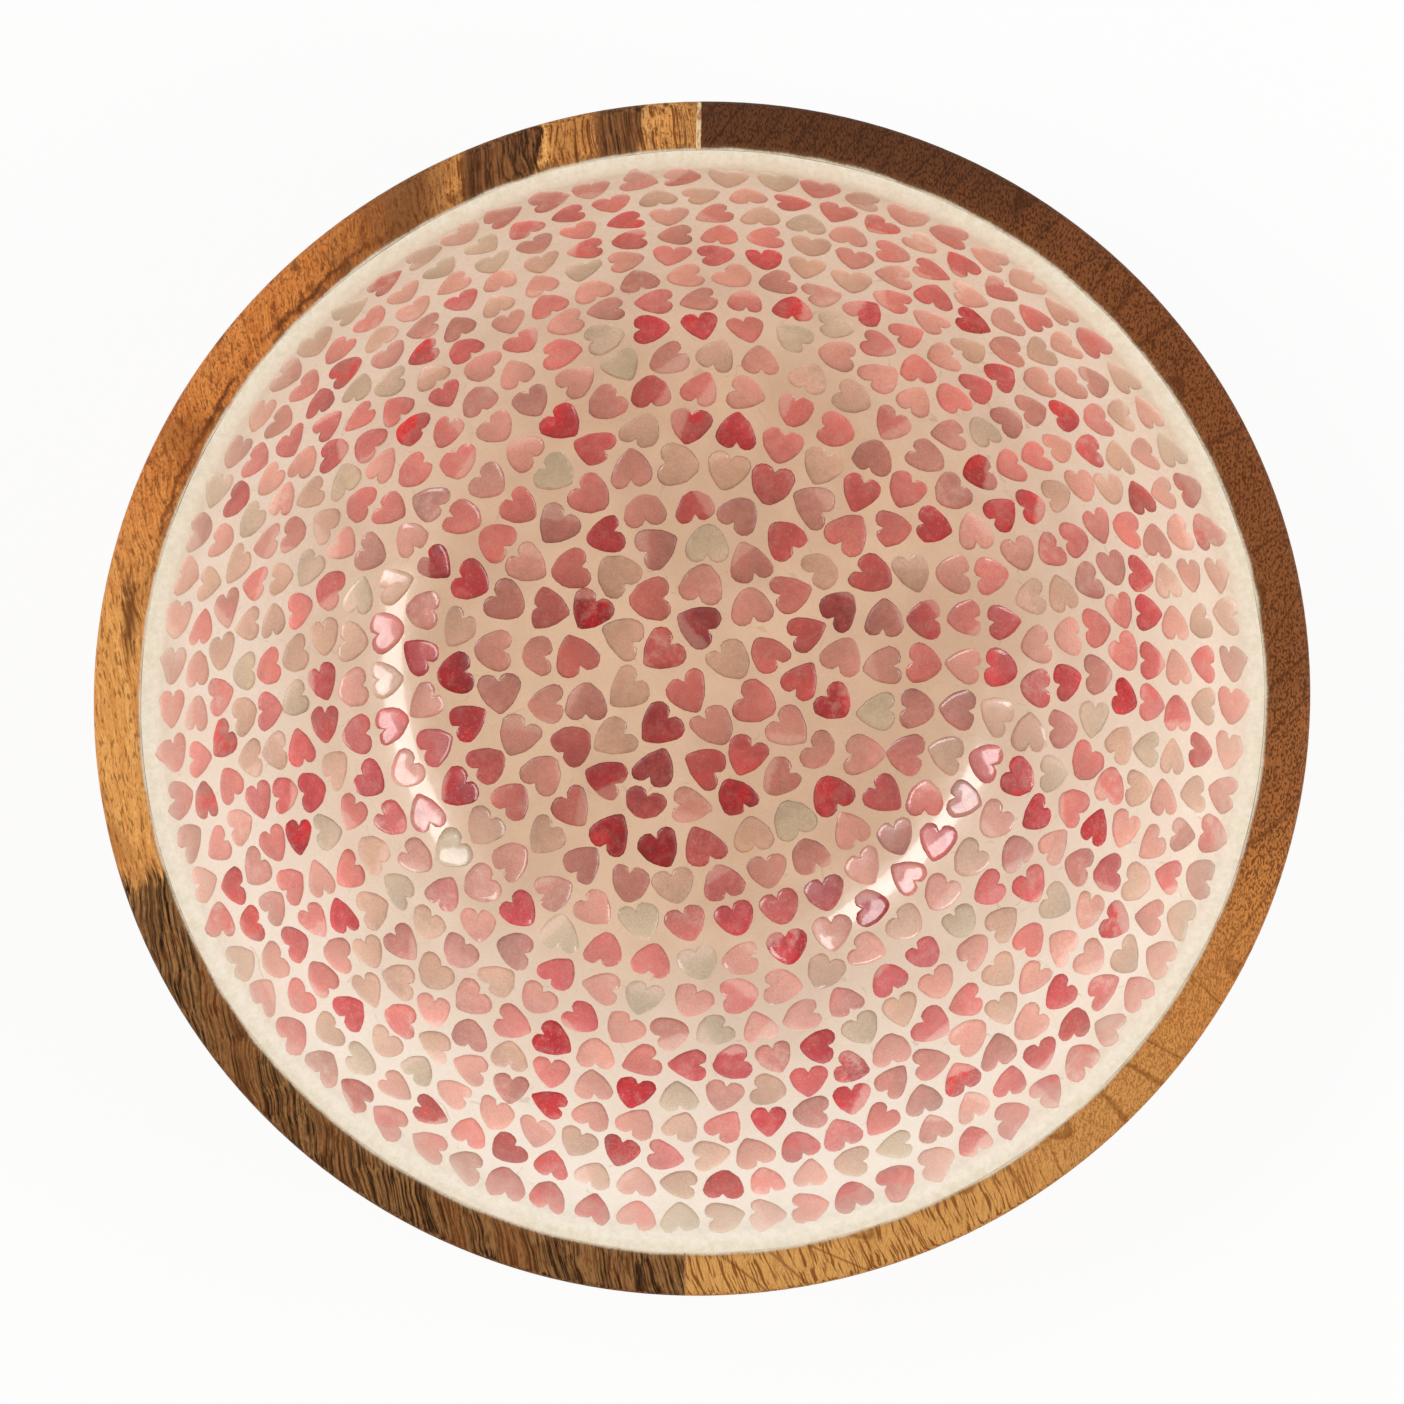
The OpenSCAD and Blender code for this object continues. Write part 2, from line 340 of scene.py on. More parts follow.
# two strip lights, each given by the middles of its short ends, in a room that is warm and dim at the front
studio = {
    "strips": {
        "rightStrip": {"ends": ((0.775, -0.45, 0.76), (0.775, 0.34, 0.96)), "width": 0.2, "power": 5.0},
        "leftStrip": {"ends": ((-0.81, 0.06, 0.98), (-0.39, 0.58, 1.1)), "width": 0.2, "power": 5.2},
    },
    "aimHeight": 0.03,
    "front": (0.345, 0.166, 0.057, 1),
    "back": (0.575, 0.61, 0.65, 1),
    "sides": 2.55,      # how much brighter the room is to both sides
    "left": 0.45,       # and to the left alone
    "overhead": 0.42,   # and how much darker overhead
    "paper": grey(0.86),
    "paperRough": 0.9,
    "paperGlow": 0.92,  # share of plain white that the camera sees, the rest is shadow
    "paperSize": 8,
    "paperDrop": 0.1 * mm,
}


def makeLamp(name, look):
    start, end = (Vector(point) for point in look["ends"])
    middle = (start + end) / 2
    away = (middle - Vector((0, 0, studio["aimHeight"]))).normalized()
    along = (end - start) - away * (end - start).dot(away)
    dropSelection()
    bpy.ops.object.light_add(type="AREA")
    lamp = bpy.context.object
    lamp.name = name
    lamp.data.shape = "RECTANGLE"
    lamp.data.size, lamp.data.size_y = look["width"], along.length
    lamp.data.energy = look["power"]
    along.normalize()
    turn = Matrix((along.cross(away), along, away)).transposed().to_4x4()
    lamp.matrix_world = Matrix.Translation(middle) @ turn


def makeFloor():  # the camera sees white paper with a faint shadow
    dropSelection()
    bpy.ops.mesh.primitive_plane_add(size=studio["paperSize"], location=(0, 0, -studio["paperDrop"]))
    floor = bpy.context.object
    floor.name = "studioFloor"
    material, tree, shader = newMaterial("studioPaper")
    fill(tree, shader, {"Base Color": studio["paper"], "Roughness": studio["paperRough"]})
    path = put(tree, "ShaderNodeLightPath").outputs
    seen = calc(tree, "MAXIMUM", path["Is Camera Ray"],
                calc(tree, "MAXIMUM", path["Is Glossy Ray"], path["Is Transmission Ray"]))
    glow = put(tree, "ShaderNodeEmission", {"Color": grey(1), "Strength": 1.0})
    mixed = put(tree, "ShaderNodeMixShader", {0: times(tree, seen, studio["paperGlow"]),
                                              1: shader.outputs[0], 2: glow.outputs[0]})
    fill(tree, tree.nodes["Material Output"], {"Surface": mixed.outputs[0]})
    giveMaterial(floor, material)


def makeRoom():
    world = bpy.data.worlds.new("paleRoom")
    bpy.context.scene.world = world
    world.use_nodes = True
    tree = world.node_tree
    direction = axes(tree, put(tree, "ShaderNodeTexCoord").outputs["Generated"])
    color = blendColor(tree, spread(tree, direction["Y"], -1.0, 1.0), studio["front"], studio["back"])
    aside = times(tree, times(tree, direction["X"], direction["X"]), studio["sides"])
    aside = minus(tree, aside, times(tree, direction["X"], studio["left"]))
    level = times(tree, plus(tree, aside, 1.0),
                  minus(tree, 1.0, times(tree, direction["Z"], studio["overhead"])))
    seen = put(tree, "ShaderNodeLightPath").outputs["Is Camera Ray"]
    color = blendColor(tree, seen, tinted(tree, color, level), grey(1))
    fill(tree, tree.nodes["Background"], {"Color": color})


makeCamera()
for stripName, strip in studio["strips"].items():
    makeLamp(stripName, strip)
makeFloor()
makeRoom()
bpy.context.scene.view_settings.view_transform = "Standard"
print("camera and studio ready")


# wood: figure that both blocks share, with scales by mm across, along and across the grain
grain = {
    "sway": 0.1,
    "swayBy": (3, 0, 3),
    "streaks": (1.7, 0.02, 1.7),
    "bands": (0.1, 0.008, 0.1),
    "clouds": (0.06, 0.035, 0.06),
    "grit": (2.6, 1.3, 2.6),
    "pores": 2.1,
}


def makeWoodFigure():
    tree, given, out = newGroup("woodFigure", {"Place": "Vector", "Pore Length": "Float", "Pore Level": "Float"},
                                ["Streaks", "Bands", "Pores", "Clouds", "Grit"])
    place = given["Place"]
    sway = cloud(tree, place, grain["sway"], 1.0, output="Color")
    bent = shift(tree, place, stretch(tree, shift(tree, sway, (-0.5, -0.5, -0.5)), grain["swayBy"]))
    # pores: short dashes along the grain, some of them run together
    parts = axes(tree, bent)
    porePlace = put(tree, "ShaderNodeCombineXYZ", {
        "X": times(tree, parts["X"], grain["pores"]),
        "Y": calc(tree, "DIVIDE", parts["Y"], given["Pore Length"]),
        "Z": times(tree, parts["Z"], grain["pores"])}).outputs[0]
    dashes = minus(tree, cloud(tree, porePlace, 1.0, 1.0), given["Pore Level"])
    fill(tree, out, {
        "Streaks": cloud(tree, bent, grain["streaks"], 3.0, 0.66),
        "Bands": cloud(tree, bent, grain["bands"], 2.0, 0.55),
        "Pores": ease(tree, dashes, -0.04, 0.1),
        "Clouds": cloud(tree, place, grain["clouds"], 3.0, 0.6),
        "Grit": cloud(tree, place, grain["grit"], 2.0, 0.7)})
    return tree


# the lining's cream feathers out over the wood, on the rim's flat only
creamRun = {
    "color": srgb(219, 212, 192),
    "edge": 115.6,        # radius in mm at which the cream ends
    "top": (70.9, 71.5),  # height in mm at which it starts
    "coarse": 0.12,
    "fine": 1.6,
    "fineShare": 0.6,
    "level": 0.8,         # mean of coarse and fine together
    "mask": (-0.4, 0.5),
    "smear": (-0.1, 1.5),
    "smearColor": srgb(140, 108, 72),
    "smearShare": 0.3,
}


def makeCreamEdge():
    tree, given, out = newGroup("creamEdge", {"Place": "Vector", "Edge": "Float"}, ["Mask", "Smear"])
    place = given["Place"]
    fine = cloud(tree, place, creamRun["fine"], 3.0, 0.65)
    ragged = plusSome(tree, cloud(tree, place, creamRun["coarse"]), fine, creamRun["fineShare"])
    past = minus(tree, flatRadius(tree, place), given["Edge"])
    past = minus(tree, past, minus(tree, ragged, creamRun["level"]))
    top = ease(tree, axes(tree, place)["Z"], *creamRun["top"])
    fill(tree, out, {"Mask": times(tree, fade(tree, past, *creamRun["mask"]), top),
                     "Smear": times(tree, fade(tree, past, *creamRun["smear"]), top)})
    return tree


woodFigure = makeWoodFigure()
creamEdge = makeCreamEdge()


def useFigure(tree, along, look):
    return useGroup(tree, woodFigure, {"Place": along, "Pore Length": look["poreLength"],
                                       "Pore Level": look["poreLevel"]})


def finishWood(tree, shader, color, place, figure):
    color = tinted(tree, color, spread(tree, figure["Grit"], 0.3, 0.7, 0.75, 1.03))
    edge = useGroup(tree, creamEdge, {"Place": place, "Edge": creamRun["edge"]})
    color = paint(tree, color, creamRun["smearColor"], edge["Smear"], creamRun["smearShare"])
    color = blendColor(tree, edge["Mask"], color, creamRun["color"])
    height = minus(tree, figure["Streaks"], times(tree, figure["Pores"], 0.5))
    fill(tree, shader, {
        "Base Color": color,
        "Roughness": plus(tree, times(tree, figure["Streaks"], 0.22), 0.36),
        "Specular IOR Level": 0.1,
        "Normal": bumped(tree, height, 0.4, 0.12 * mm)})


# left block: gold at the side, burnt orange further back, bands by the seam, dark streaks at the front
# places are in mm, and each pair of colours is for dark and light streaks
leftWood = {
    "poreLength": 2.4,
    "poreLevel": 0.58,
    "turn": math.radians(-9),
    "back": (40.0, 92.0),
    "front": (-46.0, -16.0),
    "upper": (12.0, 56.0),
    "bySeam": (-74.0, -42.0),
    "innerEdge": (116.0, 121.0),
    "gold": (srgb(212, 146, 76), srgb(232, 174, 101)),
    "burnt": (srgb(194, 113, 51), srgb(216, 138, 69)),
    "seamGold": (srgb(200, 132, 64), srgb(238, 180, 106)),
    "frontBrown": (srgb(46, 28, 13), srgb(152, 112, 68)),
    "backBrown": (srgb(54, 33, 17), srgb(138, 92, 54)),
    "redBrown": srgb(138, 80, 38),
    "speck": srgb(104, 52, 20),
    "blotch": srgb(104, 52, 22),
    "crack": srgb(92, 44, 18),
    "vein": srgb(92, 54, 26),
    "cloud": srgb(140, 78, 34),
    "thread": srgb(86, 48, 20),
    "pore": srgb(108, 58, 22),
    "crackRadius": 114.2,
    "crackEnd": (-76.0, -58.0),
    "veinShift": (78.2, -2.6, 0),
    "veinScale": (0.667, 0.125, 0),
    "threadFrom": (-82.0, -60.0),
    "bandsFrom": -100.0,
    # how dark the bands at the back are, by the share of the way to the middle
    "bands": [(0.1, 0.2), (0.25, 0.4), (0.4, 0.56), (0.5, 0.4), (0.535, 0.9), (0.645, 0.92), (0.67, 0.12),
              (0.765, 0.18), (0.79, 0.84), (0.845, 0.8), (0.875, 0.3), (0.99, 0.42)],
}


def makeLeftWood():
    look = leftWood
    material, tree, shader = newMaterial("leftBlockWood")
    place = placeInMm(tree)
    along = turned(tree, place, look["turn"])
    figure = useFigure(tree, along, look)
    parts = axes(tree, place)
    radius = flatRadius(tree, place)
    streaks = ease(tree, figure["Streaks"], 0.37, 0.63)
    uneven = minus(tree, figure["Streaks"], 0.5)
    clouded = minus(tree, figure["Clouds"], 0.5)
    back = ease(tree, parts["Y"], *look["back"])
    upper = ease(tree, parts["Y"], *look["upper"])
    # how dark: bands side by side at the back, all dark at the front
    across = plusSome(tree, parts["X"], minus(tree, figure["Bands"], 0.5), 12.0)
    across = plusSome(tree, across, uneven, 7.0)
    bands = valueRamp(tree, spread(tree, across, look["bandsFrom"], 0.0),
                      [(position, grey(level)) for position, level in look["bands"]])
    wander = plus(tree, times(tree, uneven, 40.0), times(tree, clouded, 50.0))
    front = fade(tree, plus(tree, parts["Y"], wander), *look["front"])
    dark = calc(tree, "MAXIMUM", times(tree, bands, back), front)
    dark = ease(tree, plusSome(tree, dark, uneven, 1.1), 0.32, 0.66)
    # the ground, from gold at the side to burnt orange, and gold again by the seam
    orange = blendColor(tree, streaks, *look["gold"])
    orange = paint(tree, orange, blendColor(tree, streaks, *look["burnt"]), upper, 0.9)
    orange = blendColor(tree, ease(tree, parts["X"], *look["bySeam"]), orange,
                        blendColor(tree, streaks, *look["seamGold"]))
    # specks and burnt blotches, most of them along the inner edge
    speck = ease(tree, cloud(tree, place, (1.9, 1.3, 1.9), 2.0, 0.6), 0.54, 0.66)
    orange = paint(tree, orange, look["speck"], speck, times(tree, upper, 0.6))
    inner = fade(tree, radius, *look["innerEdge"])
    blotch = plusSome(tree, cloud(tree, along, (0.3, 0.2, 0.3), 4.0, 0.66), inner, 0.08)
    orange = paint(tree, orange, look["blotch"], ease(tree, blotch, 0.57, 0.68), times(tree, upper, 0.7))
    # a burnt crack follows the inner edge
    wobble = times(tree, cloud(tree, place, 0.09, 4.0, 0.6), 7.0)
    crack = calc(tree, "ABSOLUTE", minus(tree, radius, plus(tree, wobble, look["crackRadius"])))
    crack = fade(tree, plusSome(tree, crack, figure["Grit"], 0.9), 0.5, 1.4)
    crack = times(tree, crack, fade(tree, parts["X"], *look["crackEnd"]))
    crack = times(tree, crack, ease(tree, figure["Clouds"], 0.36, 0.5))
    orange = paint(tree, orange, look["crack"], crack, times(tree, upper, 0.85))
    # one dark vein at the side
    vein = put(tree, "ShaderNodeMapping", {"Vector": place, "Location": look["veinShift"], "Scale": look["veinScale"]})
    vein = fade(tree, plusSome(tree, lengthOf(tree, vein.outputs[0]), uneven, 3.0), 0.3, 1.5)
    orange = paint(tree, orange, look["vein"], vein, 0.85)
    orange = paint(tree, orange, look["cloud"], ease(tree, figure["Clouds"], 0.52, 0.66), 0.5)
    # dark threads run through the gold at the back
    threads = times(tree, fade(tree, figure["Streaks"], 0.36, 0.48),
                    times(tree, back, ease(tree, parts["X"], *look["threadFrom"])))
    orange = paint(tree, orange, look["thread"], threads, 0.8)
    brown = blendColor(tree, streaks, *look["frontBrown"])
    brown = blendColor(tree, upper, brown, blendColor(tree, streaks, *look["backBrown"]))
    brown = paint(tree, brown, look["redBrown"], ease(tree, figure["Bands"], 0.5, 0.68), 0.4)
    color = blendColor(tree, dark, orange, brown)
    color = paint(tree, color, look["pore"], figure["Pores"], 0.62)
    finishWood(tree, shader, color, place, figure)
    return material


# right block: dark brown at the back, through red brown to gold at the front, full of pores
rightWood = {
    "poreLength": 1.1,
    "poreLevel": 0.5,
    "turn": math.radians(4),
    "scale": 1.4,
    "frontFigure": {"poreLength": 10.0, "poreLevel": 0.53, "turn": math.radians(-20)},
    "front": (-106.0, -84.0),
    "calmTo": (-62.0, -26.0),
    "corner": (-66.0, -40.0),
    "reach": 125.0,
    "lineTurns": (math.radians(33), math.radians(-52)),
    "lineHeights": (48.0, 68.0),
    # colours by the share of the way from front to back
    "ground": [(0.01, srgb(216, 165, 95)), (0.12, srgb(212, 157, 89)), (0.26, srgb(208, 143, 76)),
               (0.35, srgb(196, 130, 68)), (0.43, srgb(168, 106, 57)), (0.52, srgb(142, 88, 48)),
               (0.76, srgb(138, 82, 43)), (0.88, srgb(130, 78, 43)), (0.93, srgb(106, 64, 36)),
               (0.99, srgb(98, 60, 36))],
    "shade": [(0.01, srgb(120, 66, 22)), (0.2, srgb(122, 68, 24)), (0.36, srgb(100, 54, 20)),
              (0.5, srgb(80, 42, 16)), (0.8, srgb(80, 41, 15)), (0.95, srgb(62, 34, 17))],
}


def growthLines(tree, place, turn):  # thin dark lines along one direction, some way apart
    rings = times(tree, cloud(tree, turned(tree, place, turn), (0.006, 0.032, 0.02), 1.0), 12.0)
    rings = calc(tree, "ABSOLUTE", minus(tree, calc(tree, "FRACT", rings), 0.5))
    return fade(tree, rings, 0.01, 0.08)


def makeRightWood():
    look = rightWood
    material, tree, shader = newMaterial("rightBlockWood")
    place = placeInMm(tree)
    figure = useFigure(tree, stretch(tree, turned(tree, place, look["turn"]), look["scale"]), look)
    slow = useFigure(tree, turned(tree, place, look["frontFigure"]["turn"]), look["frontFigure"])
    parts = axes(tree, place)
    wander = times(tree, minus(tree, figure["Clouds"], 0.5), 40.0)
    share = spread(tree, plus(tree, parts["Y"], wander), -look["reach"], look["reach"])
    ground = valueRamp(tree, share, look["ground"])
    shade = valueRamp(tree, share, look["shade"])
    front = fade(tree, parts["Y"], *look["front"])
    pores = blendValue(tree, front, figure["Pores"], slow["Pores"])
    # calmer in the gold between the dark side and the streaked front
    strength = calc(tree, "MAXIMUM", front, ease(tree, parts["Y"], *look["calmTo"]))
    strength = plus(tree, times(tree, strength, 0.35), 0.5)
    color = paint(tree, ground, shade, pores, strength)
    color = paint(tree, color, shade, ease(tree, figure["Streaks"], 0.44, 0.7), 0.35)
    # dark growth lines, rising to the right at the side and falling at the front corner, fainter below the rim
    cornerLines, sideLines = (growthLines(tree, place, turn) for turn in look["lineTurns"])
    lines = blendValue(tree, ease(tree, parts["Y"], *look["corner"]), cornerLines, sideLines)
    shown = plus(tree, times(tree, ease(tree, parts["Z"], *look["lineHeights"]), 0.42), 0.18)
    color = paint(tree, color, shade, lines, shown)
    finishWood(tree, shader, color, place, figure)
    return material


# the two blocks, turned as one and parted at the seam by two planes that lean apart towards the back
seam = {
    "left": {"at": -3.025 * mm, "slope": 0.010818},
    "right": {"at": -2.375 * mm, "slope": 0.013618},
    "smoothTo": math.radians(28),
}


def turnedBody():
    foot = Vector((bowl["footRadius"], 0))
    rimEdge = Vector((bowl["rimRadius"], bowl["height"] - bowl["rimEase"]))
    across = rimEdge - foot
    reach = math.sqrt(bowl["bellyRadius"] ** 2 - (across.length / 2) ** 2)
    centre = (foot + rimEdge) / 2 + Vector((-across.y, across.x)) * reach / across.length
    start = math.atan2(foot.y - centre.y, foot.x - centre.x)
    end = math.atan2(rimEdge.y - centre.y, rimEdge.x - centre.x)
    points = [Vector((0, 0)), foot - Vector((bowl["footEase"], 0))]
    points += arcPoints(centre, bowl["bellyRadius"], start, end, 40)
    points += arcPoints(rimEdge - Vector((bowl["rimEase"], 0)), bowl["rimEase"], 0, math.pi / 2, 8)[1:]
    top = slopeAtHeight(bowl["height"], 0)
    points += [hollowPoint(slope, 0) for slope in steps(top, kneeEnd, 10)[:-1] + steps(kneeEnd, 0, 12)]
    points.append(Vector((0, bowl["base"])))
    return spinSection("turnedBody", points, 192)


def partAtSeam(body, name, side):
    pickOnly(body)
    bpy.ops.object.duplicate()
    half = bpy.context.object
    half.name = half.data.name = name
    cut = seam[side]
    startEdit()
    bpy.ops.mesh.bisect(plane_co=(cut["at"], 0, 0), plane_no=(1, -cut["slope"], 0), use_fill=True,
                        clear_inner=side == "right", clear_outer=side == "left")
    endEdit()
    bpy.ops.object.shade_smooth_by_angle(angle=seam["smoothTo"])
    return half


def makeWood():
    body = turnedBody()
    for side, material in (("left", makeLeftWood()), ("right", makeRightWood())):
        half = partAtSeam(body, side + "Block", side)
        giveMaterial(half, material)
        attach(half, "root")
        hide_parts("wood_half_" + side)
    bpy.data.objects.remove(body)


makeWood()
print("wood blocks ready")


# glue and filler in the seam: the solid itself, with flecks of wood dust in it, browner towards the front
glue = {
    "pale": srgb(220, 196, 152),
    "dust": srgb(150, 104, 60),
    "front": srgb(120, 80, 44),
    "frontTo": (-60.0, 40.0),
}


def makeGlue():
    material, tree, shader = newMaterial("seamFiller")
    place = placeInMm(tree)
    dust = cloud(tree, place, (1.6, 0.5, 0.8), 3.0, 0.6)
    color = blendColor(tree, ease(tree, dust, 0.42, 0.62), glue["pale"], glue["dust"])
    color = paint(tree, color, glue["front"], fade(tree, axes(tree, place)["Y"], *glue["frontTo"]), 0.75)
    fill(tree, shader, {
        "Base Color": color,
        "Roughness": plus(tree, times(tree, dust, 0.3), 0.35),
        "Normal": bumped(tree, dust, 0.4, 0.1 * mm)})
    giveMaterial(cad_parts["glue_seam"], material)


makeGlue()
print("seam filled")


# resin lining: a little below the faces of the tiles, rounded at its lip, with a thin film out to the wood
lining = {
    "bond": 0.1 * mm,
    "bondTop": 71.5 * mm,     # height at which its back leaves the wood for the film
    "floorDepth": 2.5 * mm,   # cream face between the tiles, inside the wood
    "kneeDepth": 2.8 * mm,
    "wallDepth": 2.66 * mm,
    # where the depth starts to change, by radius on the floor and past the knee on the wall, and over what length
    "floorEase": (32 * mm, 8 * mm),
    "wallEase": (4 * mm, 9 * mm),
    "lipDepth": 2.56 * mm,
    "lipHeight": 71.95 * mm,
    "lipRound": 4.3 * mm,
    "lipStart": 0.04,         # angle past the top at which its round starts
    "lipFade": 5.0 * mm,      # length over which the lip runs out into the wall
    "film": 115.3 * mm,
    "filmEdge": (0.15 * mm, 0.03 * mm),
    "fray": 0.16 * mm,        # how unevenly the film ends
    "wave": 0.08 * mm,        # how much the face wavers
    "waveFrom": 1.2 * mm,     # height over the wood's floor
    "waveTo": 113 * mm,       # radius
    "smoothTo": math.radians(60),
}


def facePoint(slope):  # the cream's face, which follows how high the flat tiles sit on the curve
    start, length = lining["wallEase"]
    share = smooth((bowl["wallRadius"] * (slope - kneeEnd) - start) / length)
    return hollowPoint(slope, lining["kneeDepth"] + (lining["wallDepth"] - lining["kneeDepth"]) * share)


def liningSection():
    bond, lipRound, lipDepth = lining["bond"], lining["lipRound"], lining["lipDepth"]
    reach = bowl["wallRadius"] - lipDepth + lipRound
    rise = wallCentre.y - lining["lipHeight"] + lipRound
    lipCentre = Vector((wallCentre.x + math.sqrt(reach ** 2 - rise ** 2), lining["lipHeight"] - lipRound))
    lipSlope = math.acos(rise / reach)
    outerTop = slopeAtHeight(lining["bondTop"], bond)
    points = [Vector((0, bowl["base"] + bond))]
    points += [hollowPoint(slope, bond) for slope in steps(0, kneeEnd, 12) + steps(kneeEnd, outerTop, 8)[1:]]
    inward, upward = lining["filmEdge"]
    points += [Vector((lining["film"], bowl["height"])), Vector((lining["film"] - inward, bowl["height"] + upward))]
    points += arcPoints(lipCentre, lipRound, math.pi / 2 + lining["lipStart"], math.pi / 2 + lipSlope, 14)
    # down the wall: the lip fades into the face between the tiles
    fadeEnd = lipSlope - lining["lipFade"] / (bowl["wallRadius"] - lipDepth)
    for share in steps(0, 1, 8)[1:]:
        points.append(hollowPoint(lipSlope + (fadeEnd - lipSlope) * share,
                                  lipDepth + (lining["wallDepth"] - lipDepth) * smooth(share)))
    points += [facePoint(slope) for slope in steps(fadeEnd, kneeEnd, 18)[1:] + steps(kneeEnd, 0, 20)[1:]]
    start, length = lining["floorEase"]
    for radius in steps(bowl["floorRadius"], 0, 15)[1:]:
        share = smooth((radius - start) / length)
        depth = lining["floorDepth"] + (lining["kneeDepth"] - lining["floorDepth"]) * share
        points.append(Vector((radius, bowl["base"] + depth)))
    return points


# the cream's look, with pairs of colours for its stains, the darker pair painting shade towards the floor, and radii
# in mm
resinLook = {
    "pale": (srgb(249, 246, 233), srgb(246, 240, 224)),
    "shadedAmber": (srgb(219, 192, 163), srgb(206, 177, 149)),
    "shadedAmberTo": (54.0, 112.0),
    "hairline": srgb(168, 136, 104),
    "chalk": srgb(229, 223, 205),
    "lip": (108.0, 117.5),
    "smear": srgb(206, 194, 160),
    "smearFrom": (112.4, 115.0),
    "dullFrom": (107.0, 112.0),
    "coat": 0.6,
    "dulledBy": 0.57,
    "coatRough": 0.07,
}


def makeResin():
    look = resinLook
    material, tree, shader = newMaterial("creamResin")
    place = placeInMm(tree)
    radius = flatRadius(tree, place)
    stain = cloud(tree, place, 0.035, 3.0, 0.6)
    brushed = cloud(tree, place, 0.35, 3.0, 0.65)
    color = blendColor(tree, ease(tree, stain, 0.36, 0.68), *look["pale"])
    # painted shade, darker and warmer towards the floor of the bowl
    shadedAmber = blendColor(tree, ease(tree, stain, 0.36, 0.66), *look["shadedAmber"])
    color = blendColor(tree, fade(tree, radius, *look["shadedAmberTo"]), color, shadedAmber)
    # thin hairlines
    bent = stretch(tree, cloud(tree, place, 0.06, output="Color"), 0.6)
    hair = fade(tree, cellEdge(tree, shift(tree, stretch(tree, place, 0.03), bent), 1.0), 0.002, 0.009)
    hair = times(tree, hair, ease(tree, brushed, 0.5, 0.62))
    color = paint(tree, color, look["hairline"], hair, 0.3)
    # paler, faintly green towards the wood, with a few smears
    lip = ease(tree, plusSome(tree, radius, brushed, 5.0), *look["lip"])
    chalk = ease(tree, cloud(tree, place, 0.8, 3.0, 0.7), 0.34, 0.62)
    color = blendColor(tree, lip, color, blendColor(tree, chalk, creamRun["color"], look["chalk"]))
    smear = times(tree, ease(tree, radius, *look["smearFrom"]), ease(tree, brushed, 0.48, 0.66))
    color = paint(tree, color, look["smear"], smear, 0.35)
    # lacquered, but dull by the wood
    dull = ease(tree, radius, *look["dullFrom"])
    rough = plus(tree, times(tree, brushed, 0.22), times(tree, dull, 0.35))
    height = plusSome(tree, cloud(tree, place, 0.11), brushed, 0.25)
    fill(tree, shader, {
        "Base Color": color,
        "Roughness": plus(tree, rough, 0.16),
        "Coat Weight": minus(tree, look["coat"], times(tree, dull, look["dulledBy"])),
        "Coat Roughness": look["coatRough"],
        "Normal": bumped(tree, height, 0.5, 0.42 * mm)})
    return material


def makeLining():
    piece = spinSection("creamLining", liningSection(), 240)
    # poured and rubbed by hand, so the face wavers a little and the film ends unevenly
    for corner in piece.data.vertices:
        place = corner.co
        flat = Vector((place.x, place.y, 0))
        if place.z > lining["lipHeight"]:
            uneven = noise.noise(place * 45) + 0.4 * noise.noise(place * 130)
            corner.co += flat.normalized() * uneven * lining["fray"]
        elif place.z > bowl["base"] + lining["waveFrom"] and flat.length < lining["waveTo"]:
            corner.co += corner.normal * noise.noise(place * 70) * lining["wave"]
    bpy.ops.object.shade_smooth_by_angle(angle=lining["smoothTo"])
    giveMaterial(piece, makeResin())
    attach(piece, "root")
    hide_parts("resin_lining")


makeLining()
print("lining ready")


# shell tiles: a few hearts cut one by one, then one copy for each tile
tile = {
    "width": 9.4 * mm,
    "thick": 1.2 * mm,
    # how much larger the shells are cut than the solids that hold their places
    "grow": {"floor": 1.05, "curve": 1.03, "wall": 1.04, "rim": 0.99},
    "shoulder": (0.93, 0.15 * mm),  # share left inside the rounded edge, and its rise
    "verge": (0.74, 0.06 * mm),     # then share left for the flat face, and rise up to it
    # how much painted shade the tile gets, and how bare of lacquer it is, at its edge, on its shoulder and on its face
    "edges": ((1.0, 1.0), (0.55, 0.3), (0.0, 0.0)),
    "jitter": 0.008,                # how far corners stray from the outline, in heart widths
    "twist": math.radians(6),
    "splitChance": 0.32,
    "splitAt": (0.08, 0.34),        # where the colour splits, in heart widths from the middle
    "noSplit": 2.0,
    "topCourse": 64 * mm,           # tiles above this height are in the top course
    "raggedFrom": 0.12,
    "raggedBy": (0.14, 0.55),       # mean and unevenness of the ragged side's reach
    "seed": 41,
}
# outlines in heart widths, from the notch down to the tip
plainHeart = {"lobe": 0.264, "high": 0.182, "notch": 0.258, "tip": -0.485, "bulge": 0.055, "blunt": 0.055,
              "lean": 0.0, "tall": 1.0, "wide": 1.0, "right": 1.0, "left": 1.0}
# how each cut differs from the plain heart, and how often it comes up
heartCuts = {
    "plain": {"weight": 5},
    "broad": {"weight": 4, "tall": 0.94, "bulge": 0.065, "blunt": 0.08},
    "narrow": {"weight": 3, "wide": 0.91, "notch": 0.24, "bulge": 0.045},
    "leanRight": {"weight": 3, "lean": 0.14, "right": 0.93, "notch": 0.245},
    "leanLeft": {"weight": 3, "lean": -0.14, "left": 0.92, "notch": 0.25},
    "plump": {"weight": 5, "bulge": 0.085, "blunt": 0.09, "tip": -0.465, "notch": 0.28},
    "blunt": {"weight": 2, "blunt": 0.14, "tip": -0.43, "bulge": 0.05, "notch": 0.26},
    "nicked": {"weight": 2, "right": 0.85, "bulge": 0.07, "lean": 0.07, "notch": 0.215},
    "bean": {"weight": 2, "left": 0.82, "lean": -0.17, "bulge": 0.08, "blunt": 0.09, "notch": 0.21},
}


